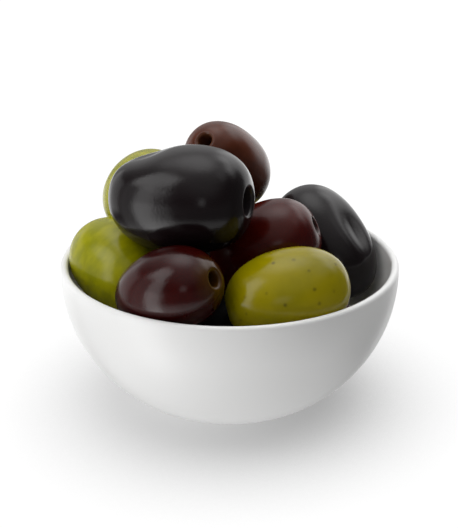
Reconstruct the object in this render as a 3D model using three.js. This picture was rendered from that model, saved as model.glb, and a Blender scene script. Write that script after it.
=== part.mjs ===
// A small porcelain dip bowl heaped with large pitted table olives.
//
// Millimetres, +Z up. The origin is the middle of the bowl's foot, on the table.
// The front of the bowl faces -Y. Fourteen olives lie in the bowl, each one a
// solid of its own with the pit hole in its stem end: eight show over the rim,
// and six fill the bowl below them and carry them.

import * as THREE from 'three';
import { mergeVertices } from 'three/addons/utils/BufferGeometryUtils.js';

// ---------------------------------------------------------------- dimensions

const BOWL_DIAMETER = 75;
const BOWL_HEIGHT = 33.3;
const RIM_THICKNESS = 1.7;
const FLOOR_THICKNESS = 3;
const FOOT_RADIUS = 13.7;      // flat ring that the bowl stands on
const FLOOR_RADIUS = 12;       // flat of the inside, where the wall starts to rise
const UPRIGHT_FROM = 0.93;     // share of the height above which the wall is upright
const BELLY = 1.56;            // roundness of the wall: larger is fuller
const BOWL_SEGMENTS = 56;
const WALL_STEPS = 10;
const RIM_STEPS = 4;

const HOLE_DEPTH_TO_RADIUS = 2.1;   // the pitter's hole, which is blind
const HOLE_NARROWING = 0.85;        // radius at its bottom, as a share of the top's
const LIP_RADIUS = 0.7;             // rounding between the skin and the hole
const SKIN_SWELLING = 0.012;        // unevenness, as a share of the radius

const SHOWN = { around: 24, along: 12 };    // facets of an olive that shows
const BURIED = { around: 16, along: 8 };    // facets of one that lies below

// ----------------------------------------------------------------- materials

const PORCELAIN = { color: 0xf2f2f0, roughness: 0.35 };
const BLACK_SKIN = { color: 0x1b191b, roughness: 0.35 };
const PURPLE_SKIN = { color: 0x3a1115, roughness: 0.2 };
const BROWN_SKIN = { color: 0x3d1f18, roughness: 0.3 };
const GREEN_SKIN = { color: 0x8a8a12, roughness: 0.2 };

function material({ color, roughness }) {
  return new THREE.MeshStandardMaterial({ color, roughness, metalness: 0 });
}

// -------------------------------------------------------------------- olives

// length and width are over all; at is the middle; yaw turns the stem end from
// +X towards +Y and pitch lifts it, in degrees; roll turns the olive about its
// length. squareness is the exponent of the outline (2 is an ellipse) and
// tipSquareness that of its tip half, where it differs; taper is how much the
// stem end is fatter than the tip, and hole is the radius that the pitter left.
// A dent is a hollow pressed into the skin at a share of the half length and an
// angle round it, with its own half length and half width.
const TYPICAL = { roll: 0, squareness: 2.2, taper: 0, hole: 1.8, dents: [] };

const OLIVES = [
  {
    name: 'olive_black_top', skin: BLACK_SKIN, detail: SHOWN,
    length: 30.7, width: 22.9, at: [-10.3, -10.1, 50.5], yaw: -20, pitch: 4,
    squareness: 2.75, tipSquareness: 2.35, hole: 3,
    dents: [{ along: -0.46, around: 89, depth: 1.95, length: 0.37, width: 33 }],
  },
  {
    name: 'olive_green_back', skin: GREEN_SKIN, detail: SHOWN,
    length: 27.5, width: 19.3, at: [-19.5, 20.3, 41.4], yaw: 74, pitch: 3, roll: 20,
  },
  {
    name: 'olive_green_left', skin: GREEN_SKIN, detail: SHOWN,
    length: 25.9, width: 18.8, at: [-24.3, -3.7, 32.3], yaw: -52, pitch: -14, roll: 70,
    squareness: 2.3, taper: -0.04,
  },
  {
    name: 'olive_purple_front', skin: PURPLE_SKIN, detail: SHOWN,
    length: 25.2, width: 17.3, at: [-12.5, -24.4, 35.7], yaw: -31, pitch: 24, roll: 130,
    squareness: 2.05, taper: 0.07,
  },
  {
    name: 'olive_green_front', skin: GREEN_SKIN, detail: SHOWN,
    length: 26.2, width: 18.6, at: [11.8, -22.5, 34], yaw: 187, pitch: -12, roll: 200,
    taper: -0.03,
  },
  {
    name: 'olive_purple_right', skin: PURPLE_SKIN, detail: SHOWN,
    length: 24.6, width: 18.7, at: [7.8, -2.6, 37], yaw: -7, pitch: 25, roll: 10,
    squareness: 2.55,
  },
  {
    name: 'olive_brown_top', skin: BROWN_SKIN, detail: SHOWN,
    length: 25.2, width: 17.8, at: [-1, 20.1, 48.6], yaw: 240, pitch: 41, roll: 50,
    squareness: 2.6, taper: -0.13,
  },
  {
    name: 'olive_black_dented', skin: BLACK_SKIN, detail: SHOWN,
    length: 30, width: 19.7, at: [22.4, 12.2, 32], yaw: 129, pitch: 32,
    squareness: 2.25, taper: 0.11,
    dents: [{ along: -0.3, around: 103, depth: 1.5, length: 0.36, width: 20 }],
  },
  {
    name: 'olive_buried_left', skin: BLACK_SKIN, detail: BURIED,
    length: 21.2, width: 15.1, at: [-20.3, 5.1, 16.3], yaw: -115, pitch: 5,
  },
  {
    name: 'olive_buried_front', skin: BLACK_SKIN, detail: BURIED,
    length: 27.3, width: 19.5, at: [-6.5, -10.6, 17.6], yaw: -9, pitch: 35,
  },
  {
    name: 'olive_buried_floor', skin: PURPLE_SKIN, detail: BURIED,
    length: 26.3, width: 18.3, at: [-0.3, 13.2, 13.6], yaw: -18, pitch: 6,
  },
  {
    name: 'olive_buried_middle', skin: BLACK_SKIN, detail: BURIED,
    length: 22.6, width: 16, at: [-9.5, 7.7, 28.4], yaw: 98, pitch: 8,
  },
  {
    name: 'olive_buried_back', skin: GREEN_SKIN, detail: BURIED,
    length: 25.8, width: 18.2, at: [1.7, 25.9, 27.4], yaw: -9, pitch: -8,
  },
  {
    name: 'olive_buried_right', skin: PURPLE_SKIN, detail: BURIED,
    length: 26.7, width: 18.9, at: [17.1, -9.8, 19.9], yaw: 78, pitch: 25,
  },
];

// ------------------------------------------------------------------- helpers

function signedPower(value, exponent) {
  return Math.sign(value) * Math.abs(value) ** exponent;
}

function arc(centreR, centreZ, radius, from, to, steps) {
  return Array.from({ length: steps + 1 }, (_, i) => {
    const angle = THREE.MathUtils.degToRad(from + (to - from) * i / steps);
    return new THREE.Vector2(centreR + radius * Math.cos(angle), centreZ + radius * Math.sin(angle));
  });
}

// One closed shell: shared vertices merged, triangles of no area left out.
function closedShell(geometry) {
  geometry.deleteAttribute('normal');
  geometry.deleteAttribute('uv');
  const merged = mergeVertices(geometry, 1e-4);
  const kept = [];
  for (let i = 0; i < merged.index.count; i += 3) {
    const [a, b, c] = [0, 1, 2].map((k) => merged.index.getX(i + k));
    if (a !== b && b !== c && c !== a) kept.push(a, b, c);
  }
  merged.setIndex(kept);
  merged.computeVertexNormals();
  return merged;
}

// ---------------------------------------------------------------------- bowl

// One face of the wall: it leaves the flat of radius startRadius level at
// height base, and ends upright at radius topRadius.
function wallCurve(startRadius, topRadius, base) {
  const top = BOWL_HEIGHT * UPRIGHT_FROM;
  return Array.from({ length: WALL_STEPS + 1 }, (_, i) => {
    const angle = Math.PI / 2 * i / WALL_STEPS;
    const swell = Math.sin(angle) ** (2 / BELLY);
    return new THREE.Vector2(
      startRadius + (topRadius - startRadius) * swell,
      top - (top - base) * Math.cos(angle),
    );
  });
}

function makeBowl() {
  const outerRadius = BOWL_DIAMETER / 2;
  const rimHalf = RIM_THICKNESS / 2;
  const profile = [
    new THREE.Vector2(0, 0),
    ...wallCurve(FOOT_RADIUS, outerRadius, 0),
    ...arc(outerRadius - rimHalf, BOWL_HEIGHT - rimHalf, rimHalf, 0, 180, RIM_STEPS),
    ...wallCurve(FLOOR_RADIUS, outerRadius - RIM_THICKNESS, FLOOR_THICKNESS).reverse(),
    new THREE.Vector2(0, FLOOR_THICKNESS),
  ];
  const geometry = new THREE.LatheGeometry(profile, BOWL_SEGMENTS);
  geometry.rotateX(Math.PI / 2);
  const bowl = new THREE.Mesh(closedShell(geometry), material(PORCELAIN));
  bowl.name = 'bowl';
  return bowl;
}

// -------------------------------------------------------------------- olives

// Outline from the tip to the lip of the hole, down the hole and back to the
// axis. Its radius is measured from the olive's length.
function oliveProfile({
  length, width, squareness, tipSquareness = squareness, taper, hole, detail,
}) {
  const lipRadius = hole + LIP_RADIUS;
  const holeDepth = hole * HOLE_DEPTH_TO_RADIUS;
  const endWidth = width / 2 * (1 + taper);
  const lipAngle = Math.asin((lipRadius / endWidth) ** (squareness / 2));
  const points = Array.from({ length: detail.along + 1 }, (_, i) => {
    const angle = Math.PI + (lipAngle - Math.PI) * i / detail.along;
    const power = 2 / (angle > Math.PI / 2 ? tipSquareness : squareness);
    const along = signedPower(Math.cos(angle), power);
    const across = Math.abs(Math.sin(angle)) ** power;
    return new THREE.Vector2(width / 2 * across * (1 + taper * along), length / 2 * along);
  });
  points[0].x = 0;
  const lip = points.at(-1);
  points.push(
    ...arc(lipRadius, lip.y - LIP_RADIUS, LIP_RADIUS, 120, 180, 2),
    new THREE.Vector2(hole * HOLE_NARROWING, lip.y - holeDepth),
    new THREE.Vector2(0, lip.y - holeDepth - hole / 4),
  );
  return points;
}

// Makes the skin uneven: low swellings round the olive, and its dents.
function shapeSkin(geometry, { length, roll, dents }) {
  const phase = THREE.MathUtils.degToRad(roll);
  const position = geometry.attributes.position;
  for (let i = 0; i < position.count; i += 1) {
    const share = position.getX(i) / (length / 2);
    const radius = Math.hypot(position.getY(i), position.getZ(i));
    const around = Math.atan2(position.getZ(i), position.getY(i));
    const body = Math.max(0, 1 - share * share);
    let change = radius * SKIN_SWELLING * body * (
      Math.sin(2 * around + phase + 1.5 * share) + 0.6 * Math.sin(3 * around - 2.2 * share)
    );
    for (const dent of dents) {
      const turn = THREE.MathUtils.euclideanModulo(
        THREE.MathUtils.radToDeg(around) - dent.around + 180, 360,
      ) - 180;
      const fade = ((share - dent.along) / dent.length) ** 2 + (turn / dent.width) ** 2;
      change -= Math.min(dent.depth, radius) * Math.exp(-fade);
    }
    const scale = radius > 0 ? (radius + change) / radius : 1;
    position.setY(i, position.getY(i) * scale);
    position.setZ(i, position.getZ(i) * scale);
  }
}

function makeOlive(olive) {
  const geometry = new THREE.LatheGeometry(oliveProfile(olive), olive.detail.around);
  geometry.rotateZ(-Math.PI / 2);
  const shell = closedShell(geometry);
  shapeSkin(shell, olive);
  shell.computeVertexNormals();
  const mesh = new THREE.Mesh(shell, material(olive.skin));
  const [roll, pitch, yaw] = [olive.roll, -olive.pitch, olive.yaw].map(THREE.MathUtils.degToRad);
  mesh.rotation.set(roll, pitch, yaw, 'ZYX');
  mesh.position.set(...olive.at);
  mesh.name = olive.name;
  return mesh;
}

// ------------------------------------------------------------------ the part

const bowlOfOlives = new THREE.Group();
bowlOfOlives.add(makeBowl());
OLIVES.forEach((olive) => bowlOfOlives.add(makeOlive({ ...TYPICAL, ...olive })));

export default bowlOfOlives;
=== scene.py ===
"""A small porcelain dip bowl heaped with large pitted olives.

Each olive is shaped by Geometry Nodes from the sizes that its solid has, and
the bowl is a turned shell. Sizes are in millimetres and MM turns them into
metres; angles are in degrees until they reach a node. The front of the bowl
faces -Y.
"""
import logging
import math
from dataclasses import dataclass, field
from enum import Enum

import bpy
from mathutils import Euler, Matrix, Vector

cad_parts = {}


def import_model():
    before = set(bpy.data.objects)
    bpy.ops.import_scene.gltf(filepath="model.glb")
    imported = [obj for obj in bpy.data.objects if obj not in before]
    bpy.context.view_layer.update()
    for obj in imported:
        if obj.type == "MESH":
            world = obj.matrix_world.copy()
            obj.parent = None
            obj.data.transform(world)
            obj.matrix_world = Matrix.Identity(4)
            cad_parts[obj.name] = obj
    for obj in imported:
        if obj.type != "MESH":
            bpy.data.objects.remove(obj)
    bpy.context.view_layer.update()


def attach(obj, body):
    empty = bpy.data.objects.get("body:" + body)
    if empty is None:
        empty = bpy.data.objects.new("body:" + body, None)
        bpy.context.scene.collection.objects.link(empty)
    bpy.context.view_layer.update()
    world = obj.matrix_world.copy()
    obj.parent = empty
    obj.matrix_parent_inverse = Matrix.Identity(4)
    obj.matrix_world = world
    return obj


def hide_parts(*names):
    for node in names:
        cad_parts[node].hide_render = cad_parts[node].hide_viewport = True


MM = 0.001
BODY = "root"
PLACE = "skin_place"  # attribute: a point's place on its own olive, in millimetres
FLESH = "flesh"       # attribute: 0 on the skin, 1 inside the pit hole

Colour = tuple[float, float, float]
log = logging.getLogger("bowl_of_olives")


def shade(red: int, green: int, blue: int) -> Colour:
    """Turns an everyday 0-255 colour into the linear values that shaders use.

    Args:
        red: Red, 0 to 255.
        green: Green, 0 to 255.
        blue: Blue, 0 to 255.

    Returns:
        The linear red, green and blue.
    """
    def linear(level: int) -> float:
        """Returns one channel in linear light."""
        value = level / 255
        return value / 12.92 if value <= 0.04045 else ((value + 0.055) / 1.055) ** 2.4

    return linear(red), linear(green), linear(blue)


# ------------------------------------------------------------- node formulas


class Field:
    """A value in a node tree that can be written as a number in a formula."""

    def __init__(self, tree: bpy.types.NodeTree, socket: bpy.types.NodeSocket) -> None:
        """Wraps an output socket of a node in that tree."""
        self.tree = tree
        self.socket = socket

    def _math(self, operation: str, *values: "Field | float") -> "Field":
        """Adds one Math node that works on these values.

        Args:
            operation: The Math node's operation.
            values: Its inputs in order.

        Returns:
            The node's result.
        """
        node = self.tree.nodes.new("ShaderNodeMath")
        node.operation = operation
        for socket, value in zip(node.inputs, values):
            feed(self.tree, value, socket)
        return Field(self.tree, node.outputs[0])

    def __add__(self, other: "Field | float") -> "Field":
        """Returns the sum."""
        return self._math("ADD", self, other)

    __radd__ = __add__

    def __sub__(self, other: "Field | float") -> "Field":
        """Returns the difference."""
        return self._math("SUBTRACT", self, other)

    def __rsub__(self, other: float) -> "Field":
        """Returns the difference from a number."""
        return self._math("SUBTRACT", other, self)

    def __mul__(self, other: "Field | float") -> "Field":
        """Returns the product."""
        return self._math("MULTIPLY", self, other)

    def __truediv__(self, other: "Field | float") -> "Field":
        """Returns the quotient."""
        return self._math("DIVIDE", self, other)

    def __rtruediv__(self, other: float) -> "Field":
        """Returns a number divided by this value."""
        return self._math("DIVIDE", other, self)

    def __pow__(self, other: "Field | float") -> "Field":
        """Returns the power."""
        return self._math("POWER", self, other)

    def __neg__(self) -> "Field":
        """Returns the value with its sign turned."""
        return self * -1.0

    def sin(self) -> "Field":
        """Returns the sine."""
        return self._math("SINE", self)

    def cos(self) -> "Field":
        """Returns the cosine."""
        return self._math("COSINE", self)

    def arcsin(self) -> "Field":
        """Returns the angle whose sine this is."""
        return self._math("ARCSINE", self)

    def exp(self) -> "Field":
        """Returns e to this power."""
        return self._math("EXPONENT", self)

    def root(self) -> "Field":
        """Returns the square root."""
        return self._math("SQRT", self)

    def size(self) -> "Field":
        """Returns the value without its sign."""
        return self._math("ABSOLUTE", self)

    def sign(self) -> "Field":
        """Returns -1, 0 or 1."""
        return self._math("SIGN", self)

    def at_least(self, low: "Field | float") -> "Field":
        """Returns the larger of the two."""
        return self._math("MAXIMUM", self, low)

    def at_most(self, high: "Field | float") -> "Field":
        """Returns the smaller of the two."""
        return self._math("MINIMUM", self, high)

    def above(self, limit: float) -> "Field":
        """Returns 1 where the value is above the limit, 0 elsewhere."""
        return self._math("GREATER_THAN", self, limit)

    def direction(self, other: "Field") -> "Field":
        """Returns the angle of the point (other, self) round the origin."""
        return self._math("ARCTAN2", self, other)

    def wrapped(self, low: float, high: float) -> "Field":
        """Returns the value brought into a range by whole turns."""
        return self._math("WRAP", self, high, low)

    def share(self, start: float, end: float) -> "Field":
        """Returns how far the value is from start to end, held to 0 and 1."""
        return ((self - start) / (end - start)).at_least(0.0).at_most(1.0)

    def ramp(self, start: float, end: float) -> "Field":
        """Makes a smooth step.

        Args:
            start: The value up to which the step is 0.
            end: The value from which it is 1.

        Returns:
            The step.
        """
        node = self.tree.nodes.new("ShaderNodeMapRange")
        node.interpolation_type = "SMOOTHSTEP"
        feed(self.tree, self, node.inputs["Value"])
        node.inputs["From Min"].default_value = start
        node.inputs["From Max"].default_value = end
        return Field(self.tree, node.outputs["Result"])

    def mix(self, low: "Field | float", high: "Field | float") -> "Field":
        """Returns low where this value is 0 and high where it is 1."""
        return (1.0 - self) * low + self * high


def feed(tree: bpy.types.NodeTree, value: object, socket: bpy.types.NodeSocket) -> None:
    """Links a field or a socket to an input, or writes a constant on it.

    Args:
        tree: The tree that holds them.
        value: A Field, an output socket, or a constant.
        socket: The input.
    """
    if isinstance(value, Field):
        value = value.socket
    if isinstance(value, bpy.types.NodeSocket):
        tree.links.new(value, socket)
    else:
        socket.default_value = value


def add_node(
    tree: bpy.types.NodeTree, kind: str, inputs: dict[str | int, object] | None = None, **settings: object
) -> bpy.types.Node:
    """Adds a node, sets it and feeds its inputs.

    Args:
        tree: The tree that it joins.
        kind: The node's type name.
        inputs: What feeds its inputs, by their names or places.
        settings: The node's own properties.

    Returns:
        The new node.
    """
    node = tree.nodes.new(kind)
    for key, value in settings.items():
        setattr(node, key, value)
    for key, value in (inputs or {}).items():
        feed(tree, value, node.inputs[key])
    return node


def vector(tree: bpy.types.NodeTree, *parts: Field | float) -> bpy.types.NodeSocket:
    """Returns the vector that has these three parts."""
    return add_node(tree, "ShaderNodeCombineXYZ", dict(enumerate(parts))).outputs[0]


def parts_of(tree: bpy.types.NodeTree, socket: bpy.types.NodeSocket) -> list[Field]:
    """Returns the three parts of a vector."""
    node = add_node(tree, "ShaderNodeSeparateXYZ", {0: socket})
    return [Field(tree, output) for output in node.outputs]


class Recipe:
    """A Geometry Nodes tree with named inputs, used as a step of a stack."""

    def __init__(self, name: str, takes_mesh: bool) -> None:
        """Starts the tree.

        Args:
            name: The tree's name.
            takes_mesh: True if the step works on the mesh of the step before.
        """
        self.tree = bpy.data.node_groups.new(name, "GeometryNodeTree")
        self.identifiers: dict[str, str] = {}
        sockets = self.tree.interface
        sockets.new_socket(name="Mesh", in_out="OUTPUT", socket_type="NodeSocketGeometry")
        self.entry = self.tree.nodes.new("NodeGroupInput")
        self.exit = self.tree.nodes.new("NodeGroupOutput")
        if takes_mesh:
            sockets.new_socket(name="Mesh", in_out="INPUT", socket_type="NodeSocketGeometry")

    def number(self, name: str) -> Field:
        """Adds a named number to the inputs and returns it."""
        return Field(self.tree, self._input(name, "NodeSocketFloat"))

    def count(self, name: str) -> bpy.types.NodeSocket:
        """Adds a named whole number to the inputs and returns it."""
        return self._input(name, "NodeSocketInt")

    def place(self, name: str) -> bpy.types.NodeSocket:
        """Adds a named vector to the inputs and returns it."""
        return self._input(name, "NodeSocketVector")

    def finish(self, name: str) -> bpy.types.NodeSocket:
        """Adds a named material to the inputs and returns it."""
        return self._input(name, "NodeSocketMaterial")

    def _input(self, name: str, kind: str) -> bpy.types.NodeSocket:
        """Adds an input of that kind and returns its socket inside the tree."""
        item = self.tree.interface.new_socket(name=name, in_out="INPUT", socket_type=kind)
        self.identifiers[name] = item.identifier
        return self.entry.outputs[name]

    def node(
        self, kind: str, inputs: dict[str | int, object] | None = None, **settings: object
    ) -> bpy.types.Node:
        """Adds a node to this tree, as add_node does."""
        return add_node(self.tree, kind, inputs, **settings)

    def moved(
        self, mesh: bpy.types.NodeSocket, position: bpy.types.NodeSocket | None = None,
        offset: bpy.types.NodeSocket | None = None,
    ) -> bpy.types.NodeSocket:
        """Moves the points of a mesh.

        Args:
            mesh: The mesh.
            position: Where each point goes, if they are set.
            offset: How far each point moves, if they are shifted.

        Returns:
            The moved mesh.
        """
        inputs: dict[str | int, object] = {"Geometry": mesh}
        if position is not None:
            inputs["Position"] = position
        if offset is not None:
            inputs["Offset"] = offset
        return self.node("GeometryNodeSetPosition", inputs).outputs[0]

    def noted(
        self, mesh: bpy.types.NodeSocket, name: str, value: object, kind: str
    ) -> bpy.types.NodeSocket:
        """Keeps a value on the points of a mesh.

        Args:
            mesh: The mesh.
            name: The name of the attribute.
            value: Its value at a point.
            kind: Its data type.

        Returns:
            The mesh with the attribute.
        """
        return self.node(
            "GeometryNodeStoreNamedAttribute", {"Geometry": mesh, "Name": name, "Value": value},
            data_type=kind, domain="POINT",
        ).outputs[0]


@dataclass
class Step:
    """One use of a recipe: the values of its inputs, by name."""

    recipe: Recipe
    values: dict[str, object]


def run_steps(name: str, steps: list[Step]) -> bpy.types.Object:
    """Runs a stack of recipes and keeps the result as a plain mesh.

    Args:
        name: The name of the piece.
        steps: The recipes in order; the first one makes the mesh.

    Returns:
        A new object at the origin, with no modifiers.
    """
    piece = bpy.data.objects.new(name, bpy.data.meshes.new(name))
    bpy.context.scene.collection.objects.link(piece)
    for number, step in enumerate(steps):
        modifier = piece.modifiers.new(f"step {number}", "NODES")
        modifier.node_group = step.recipe.tree
        for key, value in step.values.items():
            modifier[step.recipe.identifiers[key]] = value
    ready = piece.evaluated_get(bpy.context.evaluated_depsgraph_get())
    mesh = bpy.data.meshes.new_from_object(ready)
    piece.modifiers.clear()
    piece.data = mesh
    mesh.name = name
    return piece


# ------------------------------------------------------------------ finishes


def new_material(name: str) -> tuple[bpy.types.Material, bpy.types.NodeTree, bpy.types.Node]:
    """Starts a material with one Principled shader.

    Args:
        name: The material's name.

    Returns:
        The material, its node tree and its shader node.
    """
    material = bpy.data.materials.new(name)
    material.use_nodes = True
    tree = material.node_tree
    return material, tree, tree.nodes["Principled BSDF"]


def blend_colours(
    tree: bpy.types.NodeTree, share: Field, low: object, high: object
) -> bpy.types.NodeSocket:
    """Blends two colours.

    Args:
        tree: The material's nodes.
        share: How much of the second colour there is.
        low: The colour where that is 0.
        high: The colour where it is 1.

    Returns:
        The blend.
    """
    node = tree.nodes.new("ShaderNodeMix")
    node.data_type = "RGBA"
    colour_inputs = [socket for socket in node.inputs if socket.type == "RGBA"]
    feed(tree, share, node.inputs[0])
    for socket, value in zip(colour_inputs, (low, high)):
        feed(tree, (*value, 1.0) if isinstance(value, tuple) else value, socket)
    return next(socket for socket in node.outputs if socket.type == "RGBA")


def cloud(
    tree: bpy.types.NodeTree, place: object, patches: float, detail: float, seed: float = 0.0
) -> Field:
    """Returns soft noise between about 0.2 and 0.8.

    Args:
        tree: The material's nodes.
        place: The vector that the noise reads.
        patches: Patches to a unit of that vector.
        detail: Octaves of finer noise.
        seed: A number that picks another pattern.

    Returns:
        The noise.
    """
    node = add_node(
        tree, "ShaderNodeTexNoise",
        {"Vector": place, "Scale": patches, "Detail": detail, "Roughness": 0.55, "W": seed},
        noise_dimensions="4D",
    )
    return Field(tree, node.outputs[0])


@dataclass(frozen=True)
class OliveSkin:
    """The finish of one kind of olive. Colours are linear."""

    name: str
    slot: str
    ground: Colour
    mottle: Colour
    flesh: Colour
    roughness: float
    mottle_share: float          # how far the mottling reaches from the ground colour
    patch: float                 # size of a patch, in millimetres
    patch_edge: tuple[float, float] = (0.34, 0.66)    # levels of the noise where a patch starts and is full
    streak: float = 1.0          # how much longer a patch is along the olive
    speck: Colour | None = None  # colour of the specks, if it has any
    speck_share: float = 0.6     # how dark the specks are
    speck_density: float = 0.34  # places for a speck to a millimetre
    speck_edge: tuple[float, float] = (0.1, 0.26)    # where a speck starts to fade and ends, in cells
    bloom: float = 0.0           # depth of light in the flesh, as a subsurface weight
    pores: float = 0.02          # height of the fine relief, in millimetres
    pore_density: float = 1.6    # pores to a millimetre
    ring: float = 0.0            # how far the flesh colour spreads round the hole, in millimetres
    ring_from: float = 2.2       # distance from the hole's axis where it starts to fade
    ring_wander: float = 2.0     # and how much that distance varies
    shine: float = 0.5           # strength of the skin's reflections
    uneven_sheen: float = 0.1    # spread of the roughness over the skin
    flesh_roughness: float = 0.3
    tip_haze: float = 0.0        # how much duller the skin is at the tip
    tip_roughness: float = 0.6   # how much rougher the dullest tip is
    tip_from: float = -5.0       # place along the olive where the tip's dullness starts, in millimetres
    tip_full: float = -9.0       # and where it is full
    refraction: float = 1.38     # of the moist skin
    glow_depth: float = 2.0      # how far light gets into the flesh, in millimetres
    glow_reach: Colour = (1.0, 0.8, 0.2)       # and the share of that for red, green and blue

    def make(self, seed: float) -> bpy.types.Material:
        """Builds the material.

        Args:
            seed: Picks the pattern, so that no two olives are alike.

        Returns:
            The finished material.
        """
        material, tree, shader = new_material(f"{self.name}_{seed:g}")
        place = add_node(tree, "ShaderNodeAttribute", attribute_name=PLACE).outputs["Vector"]
        flesh = Field(tree, add_node(tree, "ShaderNodeAttribute", attribute_name=FLESH).outputs["Fac"])
        stretched = add_node(
            tree, "ShaderNodeMapping", {"Vector": place, "Scale": (1 / self.streak, 1.0, 1.0)}
        ).outputs[0]
        patches = cloud(tree, stretched, 1 / self.patch, 4.0, seed).ramp(*self.patch_edge)
        colour = blend_colours(tree, patches * self.mottle_share, self.ground, self.mottle)
        if self.speck:
            dark = self.specks(tree, place, seed) * self.speck_share
            colour = blend_colours(tree, dark, colour, self.speck)
        if self.ring:
            colour = blend_colours(tree, self.stain(tree, place, seed), colour, self.flesh)
        colour = blend_colours(tree, flesh.ramp(0.2, 0.9), colour, self.flesh)
        tree.links.new(colour, shader.inputs["Base Color"])
        shader.inputs["Specular IOR Level"].default_value = self.shine
        rougher = cloud(tree, place, 0.45, 3.0, seed + 5.0) * self.uneven_sheen
        if self.tip_haze:
            tip = 1.0 - parts_of(tree, place)[0].ramp(self.tip_full, self.tip_from)
            feed(tree, self.shine - tip * (self.shine * self.tip_haze), shader.inputs["Specular IOR Level"])
            rougher = rougher + tip * self.tip_haze * self.tip_roughness
        roughness = rougher + (self.roughness - self.uneven_sheen / 2)
        feed(tree, flesh.ramp(0.3, 1.0).mix(roughness, self.flesh_roughness), shader.inputs["Roughness"])
        relief = cloud(tree, place, self.pore_density, 4.0, seed + 9.0)
        bump = add_node(
            tree, "ShaderNodeBump", {"Strength": 1.0, "Distance": self.pores * MM, "Height": relief}
        )
        tree.links.new(bump.outputs[0], shader.inputs["Normal"])
        shader.inputs["IOR"].default_value = self.refraction
        if self.bloom:
            shader.inputs["Subsurface Weight"].default_value = self.bloom
            shader.inputs["Subsurface Radius"].default_value = self.glow_reach
            shader.inputs["Subsurface Scale"].default_value = self.glow_depth * MM
        return material

    def stain(self, tree: bpy.types.NodeTree, place: bpy.types.NodeSocket, seed: float) -> Field:
        """Returns where the flesh shows through the skin, in a ragged ring round the hole.

        Args:
            tree: The material's nodes.
            place: A point's place on its olive.
            seed: Picks the pattern.

        Returns:
            1 at the hole, fading to 0 on the skin.
        """
        x, y, z = parts_of(tree, place)
        wander = cloud(tree, place, 0.3, 2.0, seed + 3.0) * self.ring_wander
        away = (y * y + z * z).root() + wander - self.ring_wander / 2
        # The last factor keeps the ring on the hole's half of the olive.
        return (1.0 - away.ramp(self.ring_from, self.ring_from + self.ring)) * x.share(0.0, 4.0)

    def specks(self, tree: bpy.types.NodeTree, place: bpy.types.NodeSocket, seed: float) -> Field:
        """Returns small dark spots, few and of uneven size.

        Args:
            tree: The material's nodes.
            place: A point's place on its olive.
            seed: Picks the pattern.

        Returns:
            1 in a speck, 0 elsewhere.
        """
        moved = add_node(
            tree, "ShaderNodeMapping", {"Vector": place, "Location": (seed * 7.3, 0.0, 0.0)}
        ).outputs[0]
        cells = add_node(
            tree, "ShaderNodeTexVoronoi", {"Vector": moved, "Scale": self.speck_density, "Randomness": 1.0}
        )
        near = Field(tree, cells.outputs["Distance"])
        channels = add_node(tree, "ShaderNodeSeparateColor", {0: cells.outputs["Color"]})
        chosen = Field(tree, channels.outputs[0])
        ragged = near + cloud(tree, place, 2.2, 2.0, seed + 2.0) * 0.1
        return (1.0 - ragged.ramp(*self.speck_edge)) * chosen.ramp(0.1, 0.9)


@dataclass(frozen=True)
class Glaze:
    """White porcelain with a satin glaze, and bare clay under the foot. Painted light makes the glaze paler
    up the wall towards the rim.
    """

    rim_height: float            # in millimetres
    name: str = "porcelain"
    body: Colour = shade(241, 241, 240)
    # Painted light: the paler colour near the rim stands in for the light that falls on the upper wall and
    # rim.
    rim: Colour = shade(253, 253, 252)
    painted_light_from: float = 0.3       # share of that height above which painted light makes the glaze paler
    pools: float = 40.0          # patches of thicker and thinner glaze to a metre
    uneven_tone: float = 0.2     # how much the painted light towards the rim differs between them
    roughness: float = 0.3
    uneven_sheen: float = 0.08   # and how much the roughness does
    foot_height: float = 0.25    # millimetres of bare clay above the table
    bare_roughness: float = 0.8
    waviness: float = 0.03       # height of the glaze's soft relief, in millimetres
    wave_density: float = 120.0  # its waves to a metre

    def make(self) -> bpy.types.Material:
        """Builds the material.

        Returns:
            The finished material.
        """
        material, tree, shader = new_material(self.name)
        place = add_node(tree, "ShaderNodeTexCoord").outputs["Object"]
        pooled = cloud(tree, place, self.pools, 2.0)
        height = parts_of(tree, place)[2]
        rising = height.share(self.rim_height * self.painted_light_from * MM, self.rim_height * MM)
        # Painted light: the colour is blended towards the paler rim colour higher up the wall.
        painted_rim_light = rising * (pooled * self.uneven_tone + (1.0 - self.uneven_tone / 2))
        tree.links.new(blend_colours(tree, painted_rim_light, self.body, self.rim), shader.inputs["Base Color"])
        bare = 1.0 - height.ramp(0.0, self.foot_height * MM)
        glazed = pooled * self.uneven_sheen + (self.roughness - self.uneven_sheen / 2)
        feed(tree, bare.mix(glazed, self.bare_roughness), shader.inputs["Roughness"])
        waves = cloud(tree, place, self.wave_density, 2.0, 3.0)
        bump = add_node(
            tree, "ShaderNodeBump", {"Strength": 1.0, "Distance": self.waviness * MM, "Height": waves}
        )
        tree.links.new(bump.outputs[0], shader.inputs["Normal"])
        return material


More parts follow.
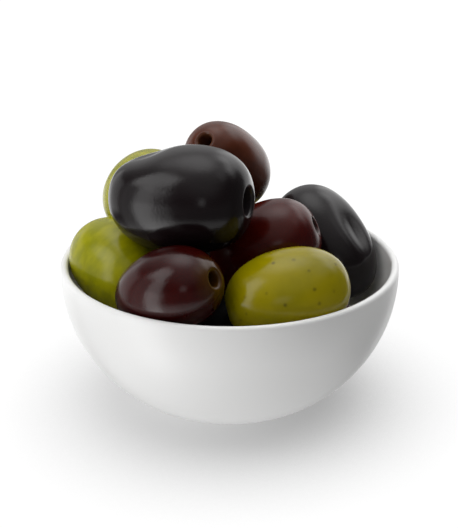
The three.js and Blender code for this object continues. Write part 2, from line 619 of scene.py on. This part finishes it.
class Skins(Enum):
    """The kinds of olive in the bowl."""

    BLACK = OliveSkin(
        "black_skin", "black_olive", shade(20, 13, 15), shade(25, 17, 19), shade(44, 38, 40),
        roughness=0.16, patch=9.0, mottle_share=0.8,
    )
    # Painted shade: darker and less glossy than the black skin, for the olives deep in the heap where shade
    # falls between them.
    SHADED_BLACK = OliveSkin(
        "shade_dark_skin", "black_olive", shade(7, 5, 5), shade(10, 7, 7), shade(8, 6, 6),
        roughness=0.5, patch=9.0, mottle_share=0.8, shine=0.2,
    )
    PURPLE = OliveSkin(
        "purple_skin", "purple_olive", shade(44, 3, 2), shade(58, 5, 3), shade(72, 44, 5),
        roughness=0.16, patch=8.0, mottle_share=0.8, ring=3.5,
    )
    WINE = OliveSkin(
        "wine_skin", "purple_olive", shade(62, 4, 2), shade(84, 18, 7), shade(46, 12, 7),
        roughness=0.2, patch=9.0, mottle_share=0.8, tip_haze=0.85,
    )
    BROWN = OliveSkin(
        "brown_skin", "brown_olive", shade(98, 45, 22), shade(70, 30, 13), shade(92, 54, 34),
        roughness=0.24, patch=7.0, mottle_share=0.8,
    )
    GOLD = OliveSkin(
        "gold_green_skin", "green_olive", shade(158, 144, 1), shade(136, 127, 1), shade(150, 140, 60),
        roughness=0.16, patch=7.0, mottle_share=0.7, speck=shade(60, 48, 6), bloom=0.2,
    )
    GREEN = OliveSkin(
        "leaf_green_skin", "green_olive", shade(168, 164, 2), shade(136, 138, 1), shade(150, 150, 70),
        roughness=0.18, patch=5.0, streak=0.5, mottle_share=0.75, bloom=0.2,
    )


# -------------------------------------------------------------------- olives


@dataclass(frozen=True)
class Dent:
    """A soft hollow in the skin, with its depth in millimetres.

    along is a share of the half length, around an angle round the olive;
    length is a share of the half length and width an angle, both half widths.
    """

    along: float
    around: float
    depth: float
    length: float
    width: float


@dataclass(frozen=True)
class Olive:
    """One olive: its node, its skin, its sizes in millimetres and its place."""

    node: str
    skin: Skins
    length: float
    width: float
    at: tuple[float, float, float]
    yaw: float
    pitch: float
    roll: float = 0.0
    squareness: float = 2.2
    tip_squareness: float | None = None    # of the tip half, where it differs
    taper: float = 0.0
    hole: float = 1.8
    dents: tuple[Dent, ...] = ()
    buried: bool = False

    def turn(self) -> tuple[float, float, float]:
        """Returns the turns about X, Y and Z that lay the olive down."""
        return math.radians(self.roll), math.radians(-self.pitch), math.radians(self.yaw)


HEAP = (
    Olive(
        "olive_black_top", Skins.BLACK, 30.7, 22.9, (-10.3, -10.1, 50.5), -20, 4,
        squareness=2.75, tip_squareness=2.35, hole=3.0, dents=(Dent(-0.46, 89, 1.95, 0.37, 33),),
    ),
    Olive("olive_green_back", Skins.GREEN, 27.5, 19.3, (-19.5, 20.3, 41.4), 74, 3, roll=20),
    Olive(
        "olive_green_left", Skins.GREEN, 25.9, 18.8, (-24.3, -3.7, 32.3), -52, -14, roll=70,
        squareness=2.3, taper=-0.04,
    ),
    Olive(
        "olive_purple_front", Skins.PURPLE, 25.2, 17.3, (-12.5, -24.4, 35.7), -31, 24, roll=130,
        squareness=2.05, taper=0.07,
    ),
    Olive(
        "olive_green_front", Skins.GOLD, 26.2, 18.6, (11.8, -22.5, 34.0), 187, -12, roll=200,
        taper=-0.03,
    ),
    Olive(
        "olive_purple_right", Skins.WINE, 24.6, 18.7, (7.8, -2.6, 37.0), -7, 25, roll=10,
        squareness=2.55,
    ),
    Olive(
        "olive_brown_top", Skins.BROWN, 25.2, 17.8, (-1.0, 20.1, 48.6), 240, 41, roll=50,
        squareness=2.6, taper=-0.13,
    ),
    Olive(
        "olive_black_dented", Skins.BLACK, 30.0, 19.7, (22.4, 12.2, 32.0), 129, 32,
        squareness=2.25, taper=0.11, dents=(Dent(-0.3, 103, 1.5, 0.36, 20),),
    ),
    Olive("olive_buried_left", Skins.SHADED_BLACK, 21.2, 15.1, (-20.3, 5.1, 16.3), -115, 5, buried=True),
    Olive("olive_buried_front", Skins.SHADED_BLACK, 27.3, 19.5, (-6.5, -10.6, 17.6), -9, 35, buried=True),
    Olive("olive_buried_floor", Skins.PURPLE, 26.3, 18.3, (-0.3, 13.2, 13.6), -18, 6, buried=True),
    Olive("olive_buried_middle", Skins.SHADED_BLACK, 22.6, 16.0, (-9.5, 7.7, 28.4), 98, 8, buried=True),
    Olive("olive_buried_back", Skins.GREEN, 25.8, 18.2, (1.7, 25.9, 27.4), -9, -8, buried=True),
    Olive("olive_buried_right", Skins.PURPLE, 26.7, 18.9, (17.1, -9.8, 19.9), 78, 25, buried=True),
)


@dataclass
class OliveMaker:
    """Geometry Nodes that make, dent and lay down an olive."""

    lip: float = 0.7             # rounding between the skin and the pit hole
    depth_to_radius: float = 2.1
    narrowing: float = 0.85      # radius at the bottom of the hole, as a share of the top's
    bottom: float = 0.4          # bulge of the hole's bottom, as a share of its radius
    swelling: float = 0.012      # unevenness, as a share of the radius
    ripple: float = 0.05         # fine unevenness, in millimetres
    ripple_size: float = 5.0     # and its size along the skin
    weld: float = 0.001          # points closer than this are one, in millimetres
    skin_end: float = 0.78       # share of the rows that the skin takes
    lip_end: float = 0.90
    wall_end: float = 0.98
    row_margin: float = 0.001    # well under the share of one row
    grid_shown: tuple[int, int] = (101, 97)    # rows and columns
    grid_buried: tuple[int, int] = (61, 61)
    make: Recipe = field(init=False)
    dent: Recipe = field(init=False)
    lay: Recipe = field(init=False)

    def __post_init__(self) -> None:
        """Builds the three trees."""
        self.make = self._make_tree()
        self.dent = self._dent_tree()
        self.lay = self._lay_tree()

    def _make_tree(self) -> Recipe:
        """Builds the tree that wraps a grid into an olive with its pit hole.

        The rows of the grid run from the tip over the skin to the lip, round
        the lip, down the wall of the hole and across its bottom to the axis.

        Returns:
            The recipe of that tree.
        """
        recipe = Recipe("olive skin", takes_mesh=False)
        length, width = recipe.number("Length"), recipe.number("Width")
        squareness, tip_squareness = recipe.number("Squareness"), recipe.number("Tip Squareness")
        taper = recipe.number("Taper")
        hole, seed = recipe.number("Hole Radius"), recipe.number("Seed")
        phase = recipe.number("Phase")
        rows, columns = recipe.count("Rows"), recipe.count("Columns")
        lip = self.lip * MM
        grid = recipe.node(
            "GeometryNodeMeshGrid",
            {"Size X": 1.0, "Size Y": 1.0, "Vertices X": rows, "Vertices Y": columns},
        ).outputs[0]
        here = recipe.node("GeometryNodeInputPosition").outputs[0]
        across_grid, along_grid = parts_of(recipe.tree, here)[:2]
        row = across_grid + 0.5
        around = (along_grid + 0.5) * math.tau

        lip_radius = hole + lip
        end_radius = width * 0.5 * (taper + 1.0)
        lip_share = lip_radius / end_radius
        lip_angle = (lip_share ** (squareness / 2.0)).arcsin()
        angle = math.pi - row.share(0.0, self.skin_end) * (math.pi - lip_angle)
        tip_half = (angle - math.pi / 2).sign().at_least(0.0)
        power = 2.0 / tip_half.mix(squareness, tip_squareness)
        along = angle.cos().sign() * angle.cos().size() ** power
        skin_radius = width * 0.5 * angle.sin().size() ** power * (taper * along + 1.0)
        skin_x = length * 0.5 * along

        lip_along = lip_angle.cos() ** (2.0 / squareness)
        lean = (lip_share ** (squareness - 1.0) / end_radius).direction(
            lip_along ** (squareness - 1.0) / (length * 0.5)
        )
        centre_radius = lip_radius - lean.sin() * lip
        centre_x = length * 0.5 * lip_along - lean.cos() * lip
        past_lip = row.share(self.skin_end, self.lip_end)
        lip_turn = (math.pi / 2 - lean) + past_lip * (lean + math.pi / 2)
        down = row.share(self.lip_end, self.wall_end)
        closing = row.share(self.wall_end, 1.0) * (math.pi / 2)
        wall_radius = (centre_radius - lip) * (1.0 - down * (1.0 - self.narrowing))
        inner_radius = wall_radius * closing.cos()
        bulge = wall_radius * self.bottom * closing.sin()
        inner_x = centre_x - down * hole * self.depth_to_radius - bulge

        on_lip = row.above(self.skin_end + self.row_margin)
        in_hole = row.above(self.lip_end + self.row_margin)
        radius = in_hole.mix(on_lip.mix(skin_radius, centre_radius + lip_turn.cos() * lip), inner_radius)
        x = in_hole.mix(on_lip.mix(skin_x, centre_x + lip_turn.sin() * lip), inner_x)

        share = x / (length * 0.5)
        body = (1.0 - share * share).at_least(0.0)
        # Two and three faint ridges round the olive, which twist along it.
        wave = (around * 2.0 + phase + share * 1.5).sin() + (around * 3.0 - share * 2.2).sin() * 0.6
        radius = radius * (1.0 + wave * body * self.swelling)
        wrapped = recipe.moved(grid, vector(recipe.tree, x, around.cos() * radius, around.sin() * radius))
        sealed = recipe.node(
            "GeometryNodeMergeByDistance", {"Geometry": wrapped, "Distance": self.weld * MM}
        ).outputs[0]
        closed = recipe.node("GeometryNodeFlipFaces", {"Mesh": sealed}).outputs[0]

        noise = recipe.node(
            "ShaderNodeTexNoise", {"Scale": 1 / (self.ripple_size * MM), "Detail": 1.5, "W": seed},
            noise_dimensions="4D",
        )
        height = (Field(recipe.tree, noise.outputs[0]) - 0.5) * (2.0 * self.ripple * MM)
        normal = recipe.node("GeometryNodeInputNormal").outputs[0]
        push = recipe.node(
            "ShaderNodeVectorMath", {0: normal, "Scale": height}, operation="SCALE"
        ).outputs[0]
        uneven = recipe.moved(closed, offset=push)
        marked = recipe.noted(uneven, FLESH, self._hole_share(recipe, hole, length), "FLOAT")
        recipe.tree.links.new(marked, recipe.exit.inputs[0])
        return recipe

    def _hole_share(self, recipe: Recipe, hole: Field, length: Field) -> Field:
        """Returns 0 on the skin and 1 inside the hole, by the place of a point.

        Args:
            recipe: The tree that asks.
            hole: The hole's radius.
            length: The olive's length.

        Returns:
            How far a point is over the lip into the hole.
        """
        x, y, z = parts_of(recipe.tree, recipe.node("GeometryNodeInputPosition").outputs[0])
        radius = (y * y + z * z).root()
        inside = 1.0 - ((radius - hole) / (self.lip * MM)).share(0.0, 0.8)
        return inside * (x / length).share(0.02, 0.06)

    def _dent_tree(self) -> Recipe:
        """Builds the tree that presses one dent towards the olive's axis.

        Returns:
            The recipe of that tree.
        """
        recipe = Recipe("dent", takes_mesh=True)
        names = ("Length", "Along", "Around", "Depth", "Reach", "Width")
        length, along, around, depth, reach, width = (recipe.number(name) for name in names)
        x, y, z = parts_of(recipe.tree, recipe.node("GeometryNodeInputPosition").outputs[0])
        radius = (y * y + z * z).root().at_least(0.01 * MM)
        turn = (z.direction(y) - around).wrapped(-math.pi, math.pi) / width
        rise = (x / (length * 0.5) - along) / reach
        fade = (-(turn * turn + rise * rise)).exp()
        scale = depth.at_most(radius) * fade * -1.0 / radius
        inwards = vector(recipe.tree, 0.0, y * scale, z * scale)
        moved = recipe.moved(recipe.entry.outputs["Mesh"], offset=inwards)
        recipe.tree.links.new(moved, recipe.exit.inputs[0])
        return recipe

    def _lay_tree(self) -> Recipe:
        """Builds the tree that notes each point's place, lays the olive down and finishes it.

        Returns:
            The recipe of that tree.
        """
        recipe = Recipe("lay down", takes_mesh=True)
        at, turn, skin = recipe.place("At"), recipe.place("Turn"), recipe.finish("Skin")
        here = recipe.node("GeometryNodeInputPosition").outputs[0]
        in_mm = recipe.node(
            "ShaderNodeVectorMath", {0: here, "Scale": 1 / MM}, operation="SCALE"
        ).outputs[0]
        noted = recipe.noted(recipe.entry.outputs["Mesh"], PLACE, in_mm, "FLOAT_VECTOR")
        laid = recipe.node(
            "GeometryNodeTransform", {"Geometry": noted, "Translation": at, "Rotation": turn}
        ).outputs[0]
        smooth = recipe.node("GeometryNodeSetShadeSmooth", {"Geometry": laid}).outputs[0]
        real = recipe.node("GeometryNodeRealizeInstances", {"Geometry": smooth}).outputs[0]
        dressed = recipe.node("GeometryNodeSetMaterial", {"Geometry": real, "Material": skin}).outputs[0]
        recipe.tree.links.new(dressed, recipe.exit.inputs[0])
        return recipe

    def build(self, olive: Olive, seed: float) -> bpy.types.Object:
        """Makes one olive in its place.

        Args:
            olive: Its sizes and place.
            seed: Picks its unevenness and its pattern.

        Returns:
            The finished piece.
        """
        rows, columns = self.grid_buried if olive.buried else self.grid_shown
        steps = [Step(self.make, {
            "Length": olive.length * MM, "Width": olive.width * MM, "Squareness": olive.squareness,
            "Tip Squareness": olive.tip_squareness or olive.squareness,
            "Taper": olive.taper, "Hole Radius": olive.hole * MM, "Seed": seed,
            "Phase": math.radians(olive.roll), "Rows": rows, "Columns": columns,
        })]
        steps += [Step(self.dent, {
            "Length": olive.length * MM, "Along": dent.along, "Around": math.radians(dent.around),
            "Depth": dent.depth * MM, "Reach": dent.length, "Width": math.radians(dent.width),
        }) for dent in olive.dents]
        steps.append(Step(self.lay, {
            "At": [value * MM for value in olive.at], "Turn": list(olive.turn()),
            "Skin": olive.skin.value.make(seed),
        }))
        piece = run_steps(olive.node.replace("olive_", "skin_"), steps)
        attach(piece, BODY)
        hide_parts(olive.node)
        return piece


# ---------------------------------------------------------------------- bowl


@dataclass
class Bowl:
    """The porcelain bowl, turned from one profile. Sizes in millimetres."""

    diameter: float = 75.0
    height: float = 33.3
    rim: float = 1.7             # thickness of the wall at the rim
    floor: float = 3.0
    foot_radius: float = 13.7
    floor_radius: float = 12.0
    upright_from: float = 0.93   # share of the height above which the wall is upright
    belly: float = 1.56          # roundness of the wall
    wall_steps: int = 48
    rim_steps: int = 14
    segments: int = 144

    def wall(self, start: float, end: float, base: float) -> list[tuple[float, float]]:
        """Returns one face of the wall, from the flat outwards and up.

        Args:
            start: Radius of the flat that it leaves.
            end: Radius where it is upright.
            base: Height of the flat.

        Returns:
            Radius and height of each point.
        """
        top = self.height * self.upright_from
        points = []
        for step in range(self.wall_steps + 1):
            angle = math.pi / 2 * step / self.wall_steps
            swell = math.sin(angle) ** (2 / self.belly)
            points.append((start + (end - start) * swell, top - (top - base) * math.cos(angle)))
        return points

    def profile(self) -> list[tuple[float, float]]:
        """Draws the outline from the axis under the foot to the axis inside.

        Returns:
            Radius and height of each point.
        """
        outer, half = self.diameter / 2, self.rim / 2
        angles = [math.pi * step / self.rim_steps for step in range(self.rim_steps + 1)]
        rim = [
            (outer - half + half * math.cos(angle), self.height - half + half * math.sin(angle))
            for angle in angles
        ]
        outside = self.wall(self.foot_radius, outer, 0.0)
        inside = self.wall(self.floor_radius, outer - self.rim, self.floor)
        return [(0.0, 0.0), *outside, *rim, *reversed(inside), (0.0, self.floor)]

    def build(self) -> bpy.types.Object:
        """Turns the profile into a closed shell and dresses it.

        Returns:
            The finished piece.
        """
        profile = self.profile()
        inner = profile[1:-1]
        points = [Vector((0, 0, profile[0][1])), Vector((0, 0, profile[-1][1]))]
        for segment in range(self.segments):
            angle = math.tau * segment / self.segments
            points += [Vector((r * math.cos(angle), r * math.sin(angle), z)) for r, z in inner]

        def index(segment: int, step: int) -> int:
            """Returns the number of a point of the wall."""
            return 2 + (segment % self.segments) * len(inner) + step

        faces: list[tuple[int, ...]] = []
        for segment in range(self.segments):
            faces.append((0, index(segment + 1, 0), index(segment, 0)))
            for step in range(len(inner) - 1):
                faces.append((
                    index(segment, step), index(segment + 1, step),
                    index(segment + 1, step + 1), index(segment, step + 1),
                ))
            last = len(inner) - 1
            faces.append((1, index(segment, last), index(segment + 1, last)))
        mesh = bpy.data.meshes.new("porcelain_bowl")
        mesh.from_pydata([point * MM for point in points], [], faces)
        mesh.polygons.foreach_set("use_smooth", [True] * len(mesh.polygons))
        mesh.materials.append(Glaze(self.height).make())
        piece = bpy.data.objects.new("porcelain_bowl", mesh)
        bpy.context.scene.collection.objects.link(piece)
        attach(piece, BODY)
        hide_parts("bowl")
        return piece


# -------------------------------------------------------------------- studio


@dataclass(frozen=True)
class Panel:
    """One pale surface of the room round the bowl, far away. Angles in degrees.

    The azimuth counts from the camera's side, positive to the right, and the
    strength is the panel's brightness.
    """

    name: str
    azimuth: float
    elevation: float
    half_width: float
    half_height: float
    strength: float
    edge: float                  # half the width of its soft edge

    def glow(self, azimuth: Field, elevation: Field) -> Field:
        """Returns the light that this panel sends from each direction.

        Args:
            azimuth: The direction's azimuth in degrees.
            elevation: Its elevation in degrees.

        Returns:
            The brightness there.
        """
        across = (azimuth - self.azimuth).wrapped(-180.0, 180.0).size()
        up = (elevation - self.elevation).size()
        inside = 1.0 - up.ramp(self.half_height - self.edge, self.half_height + self.edge)
        if self.half_width < 180.0:
            inside = inside * (1.0 - across.ramp(self.half_width - self.edge, self.half_width + self.edge))
        light = inside * self.strength
        light.socket.node.label = self.name
        return light


@dataclass(frozen=True)
class Cap:
    """A soft round glow in the room round the bowl, with a panel's angles."""

    name: str
    azimuth: float
    elevation: float
    radius: float
    strength: float
    edge: float                  # half the width of its soft edge

    def glow(self, tree: bpy.types.NodeTree, way: bpy.types.NodeSocket) -> Field:
        """Returns the light that this glow sends from each direction.

        Args:
            tree: The world's nodes.
            way: The direction.

        Returns:
            The brightness there.
        """
        turn, lift = math.radians(self.azimuth), math.radians(self.elevation)
        centre = (math.cos(lift) * math.sin(turn), -math.cos(lift) * math.cos(turn), math.sin(lift))
        facing = add_node(
            tree, "ShaderNodeVectorMath", {0: way, 1: centre}, operation="DOT_PRODUCT"
        ).outputs["Value"]
        away = 90.0 - Field(tree, facing).at_most(1.0).arcsin() * math.degrees(1.0)
        light = (1.0 - away.ramp(self.radius - self.edge, self.radius + self.edge)) * self.strength
        light.socket.node.label = self.name
        return light


@dataclass
class Studio:
    """Camera, pale floor and plain soft light. Sizes in millimetres."""

    view_elevation: float = 22.22
    view_distance: float = 262.5
    view_height: float = 31.5    # height of the point that the camera looks at
    view_shift: float = -0.15    # the camera stands this much to the side
    lens: float = 80.0
    sensor: float = 36.0
    floor_size: float = 4000.0
    floor_drop: float = 0.05     # gap between the floor and the foot
    floor_tone: float = 0.15     # grey that takes the room's light
    floor_glow: float = 0.92
    floor_reach: float = 300.0   # how far away the bowl can hide the room from the floor
    most_hidden: float = 0.75    # share of the room that it hides beside the foot
    painted_shadow_depth: float = 0.54    # how much of its glow the floor loses where the bowl hides the room, as a painted shadow
    painted_shadow_side: float = 0.11     # how much more of that painted shadow falls to the right of the bowl, and less to the left
    room: float = 0.1            # brightness of the room between the panels
    panels: tuple[Panel, ...] = (
        Panel("key", -59, -14, 11, 44, 1.6, edge=3),
        Panel("key_low", -57, -28, 14, 28, 0.8, edge=4),
        Panel("key_soft", -74, 0, 22, 50, 0.5, edge=8),
        Panel("key_top", -72, 44, 19, 15, 2.1, edge=6),
        Panel("skylight", 133, 42, 28, 10, 1.75, edge=12),
        Panel("backdrop", 148, 8, 22, 22, 0.78, edge=5),
        Panel("back_wall", 180, 20, 45, 38, 0.2, edge=10),
        Panel("left_back_wall", -123, -2, 22, 22, 0.75, edge=5),
        Panel("right_wall", 95, 58, 35, 12, 0.35, edge=8),
        Panel("table", 0, -90, 180, 46, 0.42, edge=6),
        Panel("table_back", 180, -22, 40, 14, 0.85, edge=6),
        Panel("table_left", -70, -55, 60, 20, 0.25, edge=6),
        Panel("front_low", 10, -20, 60, 24, 0.07, edge=8),
        Panel("front_table", 20, -43, 75, 14, 0.72, edge=6),
        Panel("lamp", -4, 15, 6, 7, 1.0, edge=6),
    )
    caps: tuple[Cap, ...] = (
        Cap("ceiling", -160, 74, 18, 1.55, edge=13),
        Cap("sky", 180, 60, 42, 0.65, edge=28),
        Cap("front_top", 0, 66, 34, 0.34, edge=22),
    )

    def camera(self) -> None:
        """Adds the camera."""
        data = bpy.data.cameras.new("camera")
        data.lens = self.lens
        data.sensor_width = self.sensor
        data.clip_start, data.clip_end = 0.01, 20.0
        camera = bpy.data.objects.new("camera", data)
        tilt = math.radians(self.view_elevation)
        camera.location = Vector((
            self.view_shift,
            -self.view_distance * math.cos(tilt),
            self.view_height + self.view_distance * math.sin(tilt),
        )) * MM
        camera.rotation_euler = Euler((math.pi / 2 - tilt, 0.0, 0.0))
        bpy.context.scene.collection.objects.link(camera)
        bpy.context.scene.camera = camera

    def floor(self) -> None:
        """Adds the glowing table top, which lights nothing else. Its faint grey takes shadows, and the
        bowl's shadow is also painted into its glow.
        """
        half, low = self.floor_size / 2 * MM, -self.floor_drop * MM
        mesh = bpy.data.meshes.new("floor")
        corners = [(-half, -half, low), (half, -half, low), (half, half, low), (-half, half, low)]
        mesh.from_pydata(corners, [], [(0, 1, 2, 3)])
        material, tree, shader = new_material("pale_floor")
        shader.inputs["Base Color"].default_value = (*(self.floor_tone,) * 3, 1.0)
        shader.inputs["Roughness"].default_value = 1.0
        shader.inputs["Specular IOR Level"].default_value = 0.0
        shader.inputs["Emission Color"].default_value = (1.0, 1.0, 1.0, 1.0)
        open_sky = add_node(
            tree, "ShaderNodeAmbientOcclusion", {"Distance": self.floor_reach * MM}
        ).outputs["AO"]
        # Painted shadow: the glow dims where the bowl hides the room, more to the right of the bowl and
        # less to the left.
        hidden = (1.0 - Field(tree, open_sky)) / self.most_hidden
        x, y = parts_of(tree, add_node(tree, "ShaderNodeTexCoord").outputs["Object"])[:2]
        side = x / (x * x + y * y).root().at_least(MM) * hidden * self.painted_shadow_side
        painted_shadow = hidden.ramp(0.03, 1.0) * (side + self.painted_shadow_depth)
        feed(tree, (1.0 - painted_shadow) * self.floor_glow, shader.inputs["Emission Strength"])
        mesh.materials.append(material)
        floor = bpy.data.objects.new("floor", mesh)
        for ray in ("diffuse", "glossy", "transmission", "shadow"):
            setattr(floor, f"visible_{ray}", False)
        bpy.context.scene.collection.objects.link(floor)

    def world(self) -> None:
        """Makes the pale room, which the camera sees as white."""
        world = bpy.data.worlds.new("studio")
        world.use_nodes = True
        tree = world.node_tree
        way = add_node(tree, "ShaderNodeTexCoord").outputs["Generated"]
        right, back, up = parts_of(tree, way)
        azimuth = right.direction(-back) * math.degrees(1.0)
        elevation = up.arcsin() * math.degrees(1.0)
        level: Field | float = self.room
        for panel in self.panels:
            level = level + panel.glow(azimuth, elevation)
        for cap in self.caps:
            level = level + cap.glow(tree, way)
        seen = Field(tree, add_node(tree, "ShaderNodeLightPath").outputs["Is Camera Ray"])
        feed(tree, seen.mix(level, 1.0), tree.nodes["Background"].inputs["Strength"])
        tree.nodes["Background"].inputs["Color"].default_value = (1.0, 1.0, 1.0, 1.0)
        bpy.context.scene.world = world

    def build(self) -> None:
        """Sets the stage."""
        self.camera()
        self.floor()
        self.world()
        bpy.context.scene.view_settings.view_transform = "Standard"


# ---------------------------------------------------------------------- main


def main() -> None:
    """Builds the stage, the bowl and its olives, and logs their face counts."""
    logging.basicConfig(level=logging.INFO, format="%(name)s: %(message)s")
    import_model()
    Studio().build()
    bowl = Bowl().build()
    log.info("%s: %d faces", bowl.name, len(bowl.data.polygons))
    maker = OliveMaker()
    for number, olive in enumerate(HEAP):
        piece = maker.build(olive, seed=float(number + 1))
        log.info("%s: %d faces", piece.name, len(piece.data.polygons))


if __name__ == "__main__":
    main()
